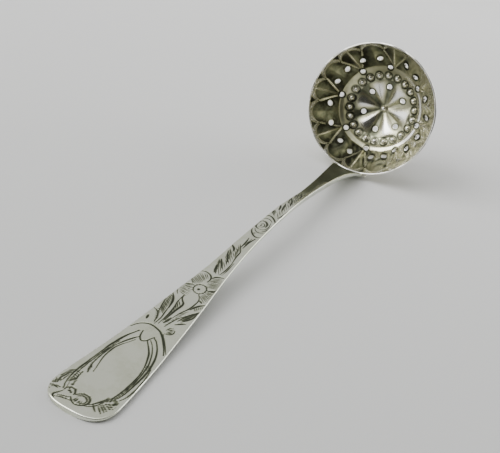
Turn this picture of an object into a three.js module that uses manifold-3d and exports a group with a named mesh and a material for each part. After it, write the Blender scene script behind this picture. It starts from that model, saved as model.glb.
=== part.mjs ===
// Sugar sifter ladle in silver: a round bowl, embossed and pierced, soldered to a tapering handle.
// It lies on a table, on the heel under its bowl and on its handle's turned-down end.
// Millimetres, +Z up. The handle runs towards -X, and the origin is on the table under the
// middle of the whole length.

import * as THREE from 'three';
import { mergeVertices } from 'three/addons/utils/BufferGeometryUtils.js';
import Module from 'manifold-3d';

// Whole ladle
const OVERALL_LENGTH = 170;
const JOINT_GAP = 0.3;
const OVERRUN = 3;

// Bowl: a spherical dish of raised sheet that lies on its side, its mouth towards the handle
const MOUTH_RADIUS = 20.7;
const BOWL_DEPTH = 17;
const BOWL_WALL = 0.6;
const BOWL_LEAN = THREE.MathUtils.degToRad(74.5);
const BOWL_SIDES = 64;
const BOWL_RINGS = 20;
const SCALLOP_LIFT = 0.35;
const SCALLOP_START_SHARE = 0.85;

// Flower in the bowl's middle: a bead and six lobes that widen towards the ring of beads
const LOBES = 6;
const LOBE_START_RADIUS = 1.3;
const LOBE_END_RADIUS = 9.8;
const LOBE_HEIGHT = 0.8;
const LOBE_WIDTH_SHARE = 0.8;
const LOBE_SKEW = 1.6;
const FLOWER_BEAD_RADIUS = 1.1;
const FLOWER_BEAD_LIFT = 0.3;
const FLOWER_HOLE_RADIUS = 0.95;
const FLOWER_HOLE_CIRCLE = 7.1;

// Ring of punched beads round the flower
const BEADS = 22;
const BEAD_RADIUS = 0.9;
const BEAD_LIFT = 0.1;
const BEAD_CIRCLE = 11.1;
const BEAD_SIDES = 8;
const BEAD_RINGS = 6;

// Outer band: gabled petals under arches that meet in cusps. Every second petal is a leaf that
// narrows inwards to an inner hole, and each broad petal between two leaves has two outer holes.
const LEAVES = 8;
const PETAL_START_RADIUS = 14.2;
const PETAL_CUSP_RADIUS = 18.9;
const PETAL_HEIGHT = 1.2;
const PETAL_SKEW = 0.8;
const INNER_HOLE_RADIUS = 0.9;
const INNER_HOLE_CIRCLE = 13.9;
const OUTER_HOLE_RADIUS = 0.95;
const OUTER_HOLE_CIRCLE = 16.8;
const OUTER_HOLE_TURN = THREE.MathUtils.degToRad(13.3);
const HOLE_SIDES = 8;

// Handle: flat rounded end, arched middle, narrow neck, and a flared shoulder at the bowl
const TERMINAL_WIDTH = 16;
const TERMINAL_THICKNESS = 1.2;
const TERMINAL_ROUNDING = 8;
const TERMINAL_SQUARENESS = 3;
const ARCH_RISE = 6.8;
const NECK_WIDTH = 3;
const NECK_THICKNESS = 2.7;
const SHOULDER_WIDTH = 10.2;
const SHOULDER_STEP = 0.35;
const HANDLE_STATIONS = 40;
const EDGE_SHARE = 0.3;

// Drop: the tongue of the handle that laps under the bowl
const DROP_LENGTH = 8.5;
const HEEL_THICKNESS = 1;
const DROP_END_THICKNESS = 0.35;
const DROP_UNDERCUT = 1.2;

// Depth that the table has worn off the heel and the handle's end
const WEAR = 0.2;

// Solder
const SEAM_RADIUS = 0.35;
const SEAM_STEPS = 28;
const SEAM_SIDES = 6;

// Finishes
const SILVER = { color: 0xc9c8bd, roughness: 0.2, metalness: 1 };
const DARKENED_SILVER = { color: 0xa9a793, roughness: 0.25, metalness: 1 };
const SOLDER = { color: 0xb5b3a6, roughness: 0.35, metalness: 1 };

// The handle's lines, from its end (along 0) to the mouth of the bowl (along 1).
// spread is the share of the terminal's extra width over the neck, flare that of the
// shoulder's; bulge is the share of the arch's rise; body is the share of the neck's extra
// thickness over the terminal, root that of the shoulder's.
const HANDLE_SHARES = [
  { along: 0, spread: 1, flare: 0, bulge: 0, body: 0, root: 0 },
  { along: 0.05, spread: 0.98, flare: 0, bulge: 0, body: 0, root: 0 },
  { along: 0.15, spread: 0.8, flare: 0, bulge: 0.02, body: 0, root: 0 },
  { along: 0.2, spread: 0.69, flare: 0, bulge: 0.09, body: 0, root: 0 },
  { along: 0.3, spread: 0.48, flare: 0, bulge: 0.31, body: 0, root: 0 },
  { along: 0.4, spread: 0.25, flare: 0, bulge: 0.57, body: 0.07, root: 0 },
  { along: 0.5, spread: 0.13, flare: 0, bulge: 0.85, body: 0.18, root: 0 },
  { along: 0.65, spread: 0.05, flare: 0, bulge: 1, body: 0.45, root: 0 },
  { along: 0.75, spread: 0, flare: 0, bulge: 0.88, body: 0.85, root: 0 },
  { along: 0.85, spread: 0, flare: 0.2, bulge: 0.76, body: 1, root: 0 },
  { along: 0.92, spread: 0, flare: 0.5, bulge: 0.59, body: 0.75, root: 0.1 },
  { along: 0.98, spread: 0, flare: 0.87, bulge: 0.23, body: 0.2, root: 0.6 },
  { along: 1, spread: 0, flare: 1, bulge: 0, body: 0, root: 1 },
];
const END_TURN_SHARES = [0.08, 0.2, 0.34, 0.5, 0.66, 0.82];
const DROP_SHARES = [0.2, 0.4, 0.56, 0.7, 0.82, 0.91, 0.97];
const TOP_SHARES = [1, 0.5, 0, -0.5, -1];
const UNDERSIDE_SHARES = [1, 0.82, 0.58, 0, -0.58, -0.82, -1];

// Squareness of the handle's underside, across a broad flat place and across the round neck
const BROAD_SQUARENESS = 2.8;
const NECK_SQUARENESS = 2.3;

// The bowl's sphere, from its mouth and depth
const sphereRadius = (MOUTH_RADIUS ** 2 + BOWL_DEPTH ** 2) / (2 * BOWL_DEPTH);
const outerRadius = sphereRadius + BOWL_WALL;
const rimAngle = Math.acos((sphereRadius - BOWL_DEPTH) / sphereRadius);
const sphereCentre = new THREE.Vector3(
  OVERALL_LENGTH / 2 - outerRadius, 0, HEEL_THICKNESS + JOINT_GAP + outerRadius);

// Directions of the leaning bowl: across, out of its mouth and up its rim
const across = new THREE.Vector3(0, 1, 0);
const mouthAxis = new THREE.Vector3(-Math.sin(BOWL_LEAN), 0, Math.cos(BOWL_LEAN));
const rimUp = new THREE.Vector3(Math.cos(BOWL_LEAN), 0, Math.sin(BOWL_LEAN));
const leaning = new THREE.Matrix4().makeBasis(across, mouthAxis, rimUp).setPosition(sphereCentre);

// Lowest point of the mouth, where the handle meets it
const lowRim = new THREE.Vector3(0, BOWL_DEPTH - sphereRadius, -MOUTH_RADIUS).applyMatrix4(leaning);
const endX = -OVERALL_LENGTH / 2;
const handleSpan = lowRim.x - endX;

const wasm = await Module();
wasm.setup();

// A closed geometry as a solid, ready to join and cut
function solidOf(geometry) {
  const bare = geometry.clone();
  bare.deleteAttribute('normal');
  bare.deleteAttribute('uv');
  const merged = mergeVertices(bare);
  return new wasm.Manifold(new wasm.Mesh({
    numProp: 3,
    vertProperties: Float32Array.from(merged.attributes.position.array),
    triVerts: Uint32Array.from(merged.index.array),
  }));
}

// The geometry of a solid
function geometryOf(solid) {
  const { vertProperties, triVerts } = solid.getMesh();
  const geometry = new THREE.BufferGeometry();
  geometry.setAttribute('position', new THREE.BufferAttribute(vertProperties, 3));
  geometry.setIndex(new THREE.BufferAttribute(triVerts, 1));
  geometry.computeVertexNormals();
  return geometry;
}

// A named piece with its own finish
function piece(name, geometry, finish) {
  const mesh = new THREE.Mesh(geometry, new THREE.MeshStandardMaterial(finish));
  mesh.name = name;
  return mesh;
}

// How far a turn is from the nearest of equally spaced ones, and 1 half way between two
function shareFromNearest(turn, step) {
  return Math.abs(turn - Math.round(turn / step) * step) / (step / 2);
}

// Height of the flower's lobes, which lie between its holes
function lobeHeight(radius, turn) {
  if (radius < LOBE_START_RADIUS || radius > LOBE_END_RADIUS) {
    return 0;
  }
  const off = 1 - shareFromNearest(turn, 2 * Math.PI / LOBES);
  const crossing = Math.cos(Math.min(off / LOBE_WIDTH_SHARE, 1) * Math.PI / 2);
  const along = (radius - LOBE_START_RADIUS) / (LOBE_END_RADIUS - LOBE_START_RADIUS);
  return LOBE_HEIGHT * crossing * Math.sqrt(Math.sin(Math.PI * along ** LOBE_SKEW));
}

// Place across a petal: 0 on its ridge and 1 on the crease beside it. The leaves widen from
// nothing where the band starts to half of it at the arches' cusps.
function petalOff(radius, turn) {
  const fromLeaf = shareFromNearest(turn, 2 * Math.PI / LEAVES);
  const widening = (radius - PETAL_START_RADIUS) / (PETAL_CUSP_RADIUS - PETAL_START_RADIUS);
  const crease = THREE.MathUtils.clamp(widening, 0, 1) / 2;
  return fromLeaf < crease ? fromLeaf / crease : (1 - fromLeaf) / (1 - crease);
}

// Height of the gabled petals, each with a ridge up its middle and an arched outer end
function petalHeight(radius, turn) {
  const arch = Math.sqrt(Math.max(1 - petalOff(PETAL_CUSP_RADIUS, turn) ** 2, 0));
  const end = PETAL_CUSP_RADIUS + (MOUTH_RADIUS - PETAL_CUSP_RADIUS) * arch;
  if (radius < PETAL_START_RADIUS || radius > end) {
    return 0;
  }
  const along = (radius - PETAL_START_RADIUS) / (end - PETAL_START_RADIUS);
  return PETAL_HEIGHT * (1 - petalOff(radius, turn)) * Math.sin(Math.PI * along ** PETAL_SKEW);
}

// The rim rises a little at the middle of each petal
function scallop(polar, turn) {
  const nearRim = Math.max(polar / rimAngle - SCALLOP_START_SHARE, 0) / (1 - SCALLOP_START_SHARE);
  return SCALLOP_LIFT * (1 - petalOff(PETAL_CUSP_RADIUS, turn)) * nearRim;
}

// Section of the sheet, up its outside and back down its inside
function sheetSection() {
  const section = [];
  for (let i = 0; i <= 2 * BOWL_RINGS + 1; i += 1) {
    const isOutside = i <= BOWL_RINGS;
    const polar = rimAngle * (isOutside ? i : 2 * BOWL_RINGS + 1 - i) / BOWL_RINGS;
    const radius = isOutside ? outerRadius : sphereRadius;
    section.push(new THREE.Vector2(radius * Math.sin(polar), -radius * Math.cos(polar)));
  }
  return section;
}

// The revolved sheet, chased from its back: both faces move in together.
// It stands upright here, with the mouth up its Y axis and turn 0 along its Z axis.
function chasedSheet() {
  const sheet = new THREE.LatheGeometry(sheetSection(), BOWL_SIDES);
  const places = sheet.attributes.position;
  const place = new THREE.Vector3();
  for (let i = 0; i < places.count; i += 1) {
    place.fromBufferAttribute(places, i);
    const away = place.length();
    const polar = Math.acos(THREE.MathUtils.clamp(-place.y / away, -1, 1));
    const side = Math.floor(i / (2 * BOWL_RINGS + 2)) % BOWL_SIDES;
    const turn = 2 * Math.PI * side / BOWL_SIDES;
    const radius = sphereRadius * Math.sin(polar);
    const reach = away - lobeHeight(radius, turn) - petalHeight(radius, turn);
    place.setFromSphericalCoords(reach, Math.PI - polar, turn);
    place.y += scallop(polar, turn);
    places.setXYZ(i, place.x, place.y, place.z);
  }
  return sheet;
}

// Moves a small geometry to a place on the bowl's sphere, its own Y axis square to the sheet
function setOnSphere(geometry, circle, turn, away) {
  const polar = Math.asin(circle / sphereRadius);
  return geometry.translate(0, -away, 0).rotateX(-polar).rotateY(turn);
}

// A punched bead: a dome on the inside of the sheet, sunk part of the way into it
function bead(radius, circle, turn, lift) {
  const dome = new THREE.SphereGeometry(radius, BEAD_SIDES, BEAD_RINGS);
  return solidOf(setOnSphere(dome, circle, turn, sphereRadius - lift));
}

function beads() {
  const domes = [bead(FLOWER_BEAD_RADIUS, 0, 0, FLOWER_BEAD_LIFT)];
  for (let i = 0; i < BEADS; i += 1) {
    domes.push(bead(BEAD_RADIUS, BEAD_CIRCLE, 2 * Math.PI * (i + 0.5) / BEADS, BEAD_LIFT));
  }
  return domes;
}

// What drills one hole, square to the sheet
function drill(radius, circle, turn) {
  const pin = new THREE.CylinderGeometry(radius, radius, 2 * OVERRUN, HOLE_SIDES);
  return solidOf(setOnSphere(pin, circle, turn, sphereRadius));
}

function drills() {
  const pins = [];
  for (let i = 0; i < LOBES; i += 1) {
    pins.push(drill(FLOWER_HOLE_RADIUS, FLOWER_HOLE_CIRCLE, 2 * Math.PI * i / LOBES));
  }
  for (let i = 0; i < LEAVES; i += 1) {
    const turn = 2 * Math.PI * i / LEAVES;
    pins.push(drill(INNER_HOLE_RADIUS, INNER_HOLE_CIRCLE, turn));
    pins.push(drill(OUTER_HOLE_RADIUS, OUTER_HOLE_CIRCLE, turn - OUTER_HOLE_TURN));
    pins.push(drill(OUTER_HOLE_RADIUS, OUTER_HOLE_CIRCLE, turn + OUTER_HOLE_TURN));
  }
  return pins;
}

// The bowl is embossed, beaded and pierced upright, and then leans over
function bowl() {
  let solid = solidOf(chasedSheet());
  for (const dome of beads()) {
    solid = solid.add(dome);
  }
  for (const pin of drills()) {
    solid = solid.subtract(pin);
  }
  return piece('bowl', geometryOf(solid).applyMatrix4(leaning), DARKENED_SILVER);
}

// The handle's lines at any place along it
const columns = ['spread', 'flare', 'bulge', 'body', 'root'];
const lines = new THREE.CubicInterpolant(
  HANDLE_SHARES.map((row) => row.along),
  HANDLE_SHARES.flatMap((row) => columns.map((column) => row[column])),
  columns.length);

// Width, top and thickness of the handle at one place between its end and the bowl's mouth
function handleAt(along) {
  const [spread, flare, bulge, body, root] = lines.evaluate(along);
  const width = NECK_WIDTH + (TERMINAL_WIDTH - NECK_WIDTH) * spread
    + (SHOULDER_WIDTH - NECK_WIDTH) * flare;
  const shoulderTop = lowRim.z - SHOULDER_STEP;
  const broadness = Math.max(spread, flare);
  return {
    x: endX + handleSpan * along,
    halfWidth: width / 2,
    top: THREE.MathUtils.lerp(TERMINAL_THICKNESS, shoulderTop, along) + ARCH_RISE * bulge,
    thickness: TERMINAL_THICKNESS + WEAR + (NECK_THICKNESS - TERMINAL_THICKNESS - WEAR) * body
      + (shoulderTop - TERMINAL_THICKNESS) * root,
    squareness: THREE.MathUtils.lerp(NECK_SQUARENESS, BROAD_SQUARENESS, broadness),
    dish: flare ** 2,
  };
}

// Sections of the rounded end, a superellipse in plan
function endSections() {
  const sections = [];
  const firstTurn = END_TURN_SHARES[0] * Math.PI / 2;
  for (const share of END_TURN_SHARES) {
    const turn = share * Math.PI / 2;
    const reach = (Math.cos(turn) / Math.cos(firstTurn)) ** (2 / TERMINAL_SQUARENESS);
    const section = handleAt((1 - reach) * TERMINAL_ROUNDING / handleSpan);
    section.halfWidth *= Math.sin(turn) ** (2 / TERMINAL_SQUARENESS);
    sections.push(section);
  }
  return sections;
}

// Sections from the rounded end to the mouth of the bowl
function stemSections() {
  const sections = [];
  const first = TERMINAL_ROUNDING / handleSpan;
  for (let i = 0; i <= HANDLE_STATIONS; i += 1) {
    sections.push(handleAt(THREE.MathUtils.lerp(first, 1, i / HANDLE_STATIONS)));
  }
  return sections;
}

// Lowest height, over this place of the table, of a sphere about the bowl's centre
function sphereUnderside(radius, x, y) {
  return sphereCentre.z - Math.sqrt(radius ** 2 - (x - sphereCentre.x) ** 2 - y ** 2);
}

// Sections of the drop, which follows the bowl's underside and thins towards its round end
function dropSections() {
  const sections = [];
  const root = handleAt(1);
  for (const share of DROP_SHARES) {
    const x = lowRim.x + DROP_LENGTH * share;
    const seat = sphereUnderside(outerRadius + JOINT_GAP, x, 0);
    const under = THREE.MathUtils.lerp(HEEL_THICKNESS + WEAR, DROP_END_THICKNESS, share ** 2);
    sections.push({
      ...root,
      x,
      halfWidth: root.halfWidth * Math.sqrt(1 - share ** 2),
      top: seat + DROP_UNDERCUT,
      thickness: DROP_UNDERCUT + under,
    });
  }
  return sections;
}

// Outline of one section: a flat or dished top, upright edges and a rounded underside
function outline({ x, halfWidth, top, thickness, squareness, dish }) {
  const edge = thickness * EDGE_SHARE;
  const topAt = (y) => top + dish * (MOUTH_RADIUS - Math.sqrt(MOUTH_RADIUS ** 2 - y ** 2));
  const points = [];
  for (const share of TOP_SHARES) {
    const y = halfWidth * share;
    points.push(new THREE.Vector3(x, y, topAt(y)));
  }
  for (const share of UNDERSIDE_SHARES) {
    const y = -halfWidth * share;
    const bow = (1 - Math.abs(share) ** squareness) ** (1 / squareness);
    points.push(new THREE.Vector3(x, y, topAt(y) - edge - (thickness - edge) * bow));
  }
  return points;
}

// Skins a row of outlines that have equally many points, and closes both ends
function skin(outlines) {
  const count = outlines[0].length;
  const last = (outlines.length - 1) * count;
  const index = [];
  for (let start = 0; start < last; start += count) {
    for (let i = 0; i < count; i += 1) {
      const here = start + i;
      const beside = start + (i + 1) % count;
      index.push(here, beside, beside + count, here, beside + count, here + count);
    }
  }
  for (let i = 1; i < count - 1; i += 1) {
    index.push(0, i + 1, i);
    index.push(last, last + i, last + i + 1);
  }
  return new THREE.BufferGeometry().setFromPoints(outlines.flat()).setIndex(index);
}

// Space that the bowl takes, with the joint's gap round it: its sphere, cut off at the mouth
function bowlSpace() {
  const radius = outerRadius + JOINT_GAP;
  const mouthHeight = BOWL_DEPTH - sphereRadius + SCALLOP_LIFT + JOINT_GAP;
  const lastPolar = Math.acos(-mouthHeight / radius);
  const section = [];
  for (let ring = 0; ring <= BOWL_RINGS; ring += 1) {
    const polar = lastPolar * ring / BOWL_RINGS;
    section.push(new THREE.Vector2(radius * Math.sin(polar), -radius * Math.cos(polar)));
  }
  section.push(new THREE.Vector2(0, mouthHeight));
  return solidOf(new THREE.LatheGeometry(section, BOWL_SIDES).applyMatrix4(leaning));
}

// Space under the table's surface, where the worn metal would have been
function tableSpace() {
  const block = new THREE.BoxGeometry(2 * OVERALL_LENGTH, 2 * TERMINAL_WIDTH, OVERRUN);
  return solidOf(block.translate(0, 0, -OVERRUN / 2));
}

function handle() {
  const sections = [...endSections(), ...stemSections(), ...dropSections()];
  const solid = solidOf(skin(sections.map(outline)))
    .subtract(bowlSpace())
    .subtract(tableSpace());
  return piece('handle', geometryOf(solid), SILVER);
}

// The solder's path: round the drop's edge, on the underside of the bowl
function seamPath() {
  const offset = JOINT_GAP + SEAM_RADIUS;
  const points = [];
  for (let i = 0; i <= SEAM_STEPS; i += 1) {
    const turn = Math.PI * (i / SEAM_STEPS - 0.5);
    const x = lowRim.x + (DROP_LENGTH + offset) * Math.cos(turn);
    const y = (SHOULDER_WIDTH / 2 + offset) * Math.sin(turn);
    points.push(new THREE.Vector3(x, y, sphereUnderside(outerRadius + offset, x, y)));
  }
  return new THREE.CatmullRomCurve3(points);
}

function solderSeam() {
  const corners = [];
  for (let i = 0; i < SEAM_SIDES; i += 1) {
    const turn = 2 * Math.PI * i / SEAM_SIDES;
    corners.push(new THREE.Vector2(SEAM_RADIUS * Math.cos(turn), SEAM_RADIUS * Math.sin(turn)));
  }
  const run = new THREE.ExtrudeGeometry(new THREE.Shape(corners), {
    steps: SEAM_STEPS, bevelEnabled: false, extrudePath: seamPath(),
  });
  return piece('solder_seam', run, SOLDER);
}

const ladle = new THREE.Group();
ladle.name = 'sugar_sifter_ladle';
ladle.add(bowl(), handle(), solderSeam());

export default ladle;
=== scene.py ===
# Sugar sifter ladle in silver: the look of its bowl, engraved handle and solder.
# The scene is in metres, +Z up. Sizes are in millimetres here unless a comment says otherwise.
# The handle runs towards -X and the spoon lies on a pale floor at z = 0.

import math

import bpy
import numpy as np
from mathutils import Matrix, Vector


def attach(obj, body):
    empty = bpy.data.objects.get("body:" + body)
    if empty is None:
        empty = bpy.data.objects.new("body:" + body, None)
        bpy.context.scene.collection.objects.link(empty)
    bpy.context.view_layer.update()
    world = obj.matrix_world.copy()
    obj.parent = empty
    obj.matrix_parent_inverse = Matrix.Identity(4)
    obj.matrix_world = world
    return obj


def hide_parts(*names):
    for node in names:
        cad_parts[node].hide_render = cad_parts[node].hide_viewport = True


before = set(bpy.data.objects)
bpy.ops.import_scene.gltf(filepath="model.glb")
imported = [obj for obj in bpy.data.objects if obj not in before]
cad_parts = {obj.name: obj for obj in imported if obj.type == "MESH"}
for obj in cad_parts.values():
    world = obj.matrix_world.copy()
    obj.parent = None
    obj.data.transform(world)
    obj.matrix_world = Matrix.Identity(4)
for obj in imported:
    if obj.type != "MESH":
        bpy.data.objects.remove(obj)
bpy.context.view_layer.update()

MM = 0.001

# Whole ladle
OVERALL_LENGTH = 170
END_X = -OVERALL_LENGTH / 2
JOINT_GAP = 0.3
VISIBLE_GAP = 0.03

# Bowl
MOUTH_RADIUS = 20.7
BOWL_DEPTH = 17
BOWL_WALL = 0.6
BOWL_LEAN = math.radians(74.5)
SCALLOP_LIFT = 0.35
SCALLOP_START_SHARE = 0.85
LOBES = 6
LOBE_START_RADIUS = 1.3
LOBE_END_RADIUS = 9.8
LOBE_HEIGHT = 0.8
LOBE_WIDTH_SHARE = 0.8
LOBE_SKEW = 1.6
FLOWER_BEAD_RADIUS = 1.1
FLOWER_BEAD_LIFT = 0.3
FLOWER_HOLE_RADIUS = 0.95
BEADS = 22
BEAD_RADIUS = 0.98
BEAD_LIFT = 0.04
BEAD_CIRCLE = 11.1
PUNCH_RADIUS = 0.7
PUNCH_DEPTH = 0.25
PUNCH_TARNISH = 0.45
LEAVES = 8
PETAL_START_RADIUS = 14.2
PETAL_CUSP_RADIUS = 18.9
PETAL_HEIGHT = 1.2
PETAL_SKEW = 0.8
INNER_HOLE_RADIUS = 0.9
OUTER_HOLE_RADIUS = 0.95

# Places of the hand-drilled holes: turn in degrees from the top of the bowl towards +Y, and the
# circle's radius. They stray a little from an even spacing, as in the photograph.
FLOWER_HOLES = [(3, 7.6), (53, 6.9), (117, 6.8), (179, 7.2), (236, 7.4), (310, 7.2)]
INNER_HOLES = [(6, 14.1), (46, 13.8), (90, 14.1), (138, 13.4), (181, 14.1), (222, 14.9),
               (266, 13.7), (317, 14.3)]
OUTER_HOLES = [(17, 17.0), (38, 16.8), (58, 17.0), (76, 16.9), (103, 16.8), (126, 16.8),
               (150, 16.9), (167, 17.2), (193, 16.6), (209, 16.5), (238, 16.8), (256, 16.8),
               (280, 16.9), (301, 16.5), (329, 16.5), (345, 17.3)]
HOLES = ((FLOWER_HOLE_RADIUS, FLOWER_HOLES), (INNER_HOLE_RADIUS, INNER_HOLES),
         (OUTER_HOLE_RADIUS, OUTER_HOLES))

# Handle
TERMINAL_WIDTH = 16
TERMINAL_THICKNESS = 1.2
TERMINAL_ROUNDING = 8
TERMINAL_SQUARENESS = 3
ARCH_RISE = 6.8
NECK_WIDTH = 3
NECK_THICKNESS = 2.7
SHOULDER_WIDTH = 10.2
SHOULDER_STEP = 0.35
EDGE_SHARE = 0.3
DROP_LENGTH = 8.5
HEEL_THICKNESS = 1
DROP_END_THICKNESS = 0.35
DROP_UNDERCUT = 1.2
WEAR = 0.2
BROAD_SQUARENESS = 2.8
NECK_SQUARENESS = 2.3
CHAMFER = 0.32
CHAMFER_LARGEST_SHARE = 0.5

# The handle's lines as shares: place along, spread, flare, bulge, body, root
HANDLE_SHARES = [
    (0, 1, 0, 0, 0, 0),
    (0.05, 0.98, 0, 0, 0, 0),
    (0.15, 0.8, 0, 0.02, 0, 0),
    (0.2, 0.69, 0, 0.09, 0, 0),
    (0.3, 0.48, 0, 0.31, 0, 0),
    (0.4, 0.25, 0, 0.57, 0.07, 0),
    (0.5, 0.13, 0, 0.85, 0.18, 0),
    (0.65, 0.05, 0, 1, 0.45, 0),
    (0.75, 0, 0, 0.88, 0.85, 0),
    (0.85, 0, 0.2, 0.76, 1, 0),
    (0.92, 0, 0.5, 0.59, 0.75, 0.1),
    (0.98, 0, 0.87, 0.23, 0.2, 0.6),
    (1, 0, 1, 0, 0, 1),
]

# Finer forms of the bowl
HOLE_BURR = 0.09
RIM_ROUNDING = 0.26
RIM_ROUNDING_STEPS = 4
RIM_EDGE_ANGLE = math.radians(60)
CUT_OVERRUN_ANGLE = 0.001
SMALLEST_CREASE_SHARE = 0.002
LINE_WIDTH = 0.34
LINE_HEIGHT = 0.12
ARCH_LINE_THINNING = 0.8
RIB_START = 1
BAND_START_RADIUS = 11.9
BAND_END_RADIUS = 14.3
BAND_HEIGHT = 0.34
BAND_FULL_TURN = math.radians(230)
BAND_EVEN_SHARE = 0.6
BAND_TURN_SHARE = 0.4
HANDWORK_HEIGHT = 0.2
HANDWORK_START_RADIUS = 14
HANDWORK_FADE = 1.5
HANDWORK_TURN = math.radians(248)
HANDWORK_SIDE_SHARPNESS = 0.9
HANDWORK_SIDE_SHIFT = 0.3
HANDWORK_WAVES = (1.9, 1.7, 2.1, 1.5)
HANDWORK_SWAYS = (1.3, 1.1)
BEAD_SINK_SHARE = 0.85
DRILL_LENGTH = 6

# Tarnish, from 0 on clean silver to 1 in black recesses. A tilt adds painted shade on the bowl's
# side towards +Y and takes from it on the other side, as painted light.
# Turn of the painted shade on the bowl, and how fast it turns to painted light on the side across
SHADED_SIDE_TURN = math.radians(90)
SHADED_SIDE_SHARPNESS = 2
SHADED_SIDE_SHIFT = 0.8
FLOWER_TARNISH = 0.74
FLOWER_SHADE_TILT = 0.12
LOBE_SHINE = 1.15
LOBE_SHINE_FALL = 1.3
BAND_TARNISH = 0.32
BAND_SHADE_TILT = 0.24
PETAL_TARNISH = 0.54
PETAL_SHADE_TILT = 0.26
PETAL_EDGE_TARNISH = 0.2
# Painted highlight on the raised chasing and painted shade in its hollows
HANDWORK_PAINTED_LIGHT_AND_SHADE = 0.4
LINE_SHINE = 1.5
OUTSIDE_TARNISH = 0.22
BEAD_TARNISH = 0.08
RECESS_REACH = 1.6
HOLE_RECESS_WIDTH = 0.45
HOLE_RECESS_TARNISH = 1
BEAD_RECESS_WIDTH = 0.75
BEAD_RECESS_TARNISH = 0.93
FLOWER_BEAD_RECESS_TARNISH = 0.8
WORN_RIM_START = 0.985
WORN_RIM_FADE = 0.01
ENGRAVED_TARNISH = 0.95
# Painted shade on the neck's top and far side; its near edge stays light
NECK_PAINTED_SHADE = 0.43
NECK_SHADE_START = 100
NECK_SHADE_SPREAD = 14
NECK_LIGHT_EDGE = 1.3
NECK_LIGHT_END = 122
NECK_LIGHT_FADE = 4

# Strokes of the engraving, and the dotted eye of its open flower
STROKE_SHARE = 0.74
STROKE_END_SHARE = 0.45
STROKE_POINT_SHARE = 0.08
STROKE_BLACKNESS = 2.6
STROKE_STEP = 0.15
EYE_MIDDLE = (50, -0.1)
EYE_REACH = (1.75, 1.6)
EYE_DOTS = 14
EYE_DOT_SHARE = 0.65

# Fineness of the meshes
BOWL_SEGMENTS = 320
SPHERE_RINGS = 230
BEAD_SEGMENTS = 28
BEAD_RINGS = 18
PUNCH_SEGMENTS = 24
PUNCH_RINGS = 14
DRILL_SIDES = 36
SPACE_SEGMENTS = 256
SPACE_RINGS = 160
TOP_COLUMNS = 100
CHAMFER_COLUMNS = 4
UNDERSIDE_COLUMNS = 14
TIP_ROWS = 46
DROP_ROWS = 30
SHORTEST_ROW = 0.02
LAST_ROW_ROOM = 0.1
SMALLEST_ROOM = 1e-6
ROW_STEP_FINE = 0.14
ROW_STEP_COARSE = 0.18
ROW_STEP_PLAIN = 0.5
FINE_ROWS_END = 60
ENGRAVED_END = 109
MELT_DISTANCE = 0.005
BOWL_CREASE = math.radians(38)
HANDLE_CREASE = math.radians(50)

# Camera, fitted to the photograph: its direction, roll, lens and place from the bowl's mouth
VIEW_AZIMUTH = math.radians(21.62)
VIEW_ELEVATION = math.radians(29.8)
VIEW_ROLL = math.radians(12.94)
VIEW_LENS = 64.8
VIEW_SENSOR = 36
VIEW_FROM_MOUTH = (-265.05, -73.58, 104.31)

# Studio, in metres and watts: place, target, width, height and power of each lamp, then the walls
# and the floor from their near side to their far side
LAMPS = {
    "window": ((-0.42, 0.5, 0.62), (0, 0, 0), 0.7, 0.5, 6.4),
    "low_window": ((-0.62, 0.72, 0.2), (0, 0, 0), 0.7, 0.4, 1.6),
    "side_strip": ((0.8, -0.5, 0.32), (0, 0, 0), 0.8, 0.5, 4),
    "ceiling": ((-0.1, 0.25, 1.15), (0.02, 0, 0), 1, 1, 4.1),
}
FAR_SIDE = (0.70, 0.28, 0.66)
FAR_SIDE_START = -0.1
FAR_SIDE_END = 0.35
NEAR_WALL = (0.045, 0.045, 0.038, 1)
FAR_WALL = (0.70, 0.70, 0.68, 1)
FLOOR_SIZE = 6
NEAR_FLOOR_X = -0.14
FAR_FLOOR_X = 0.3
# Paper colour from its near to its far side: a painted light falloff over the floor
NEAR_PAPER_SHADED = (0.50, 0.505, 0.50, 1)
FAR_PAPER_LIT = (0.97, 0.97, 0.97, 1)

# Colours of the silver, from clean to black, with their places between 0 and 1
BOWL_SHADES = [(0, (0.93, 0.92, 0.88)), (0.3, (0.79, 0.765, 0.58)), (0.65, (0.47, 0.465, 0.31)),
               (0.85, (0.20, 0.21, 0.14)), (1, (0.05, 0.05, 0.035))]
HANDLE_SHADES = [(0, (0.77, 0.79, 0.685)), (0.14, (0.68, 0.70, 0.57)),
                 (0.38, (0.23, 0.245, 0.165)), (1, (0.045, 0.05, 0.035))]
SOLDER_SHADES = [(0, (0.74, 0.73, 0.64)), (0.2, (0.5, 0.48, 0.36))]

# The bowl's sphere, from its mouth and depth
sphere_radius = (MOUTH_RADIUS**2 + BOWL_DEPTH**2) / (2 * BOWL_DEPTH)
outer_radius = sphere_radius + BOWL_WALL
rim_angle = math.acos((sphere_radius - BOWL_DEPTH) / sphere_radius)
sphere_centre = Vector((-END_X - outer_radius, 0, HEEL_THICKNESS + JOINT_GAP + outer_radius))
mouth_axis = Vector((-math.sin(BOWL_LEAN), 0, math.cos(BOWL_LEAN)))
rim_up = Vector((math.cos(BOWL_LEAN), 0, math.sin(BOWL_LEAN)))
mouth_centre = sphere_centre + mouth_axis * (BOWL_DEPTH - sphere_radius)
low_rim = mouth_centre - rim_up * MOUTH_RADIUS
handle_span = low_rim.x - END_X

# Turns the upright bowl (mouth up Z, turn 0 along X) over on its side
leaning = Matrix((rim_up, (0, 1, 0), mouth_axis)).transposed().to_4x4()
leaning.translation = sphere_centre


# Camera and studio

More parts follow.
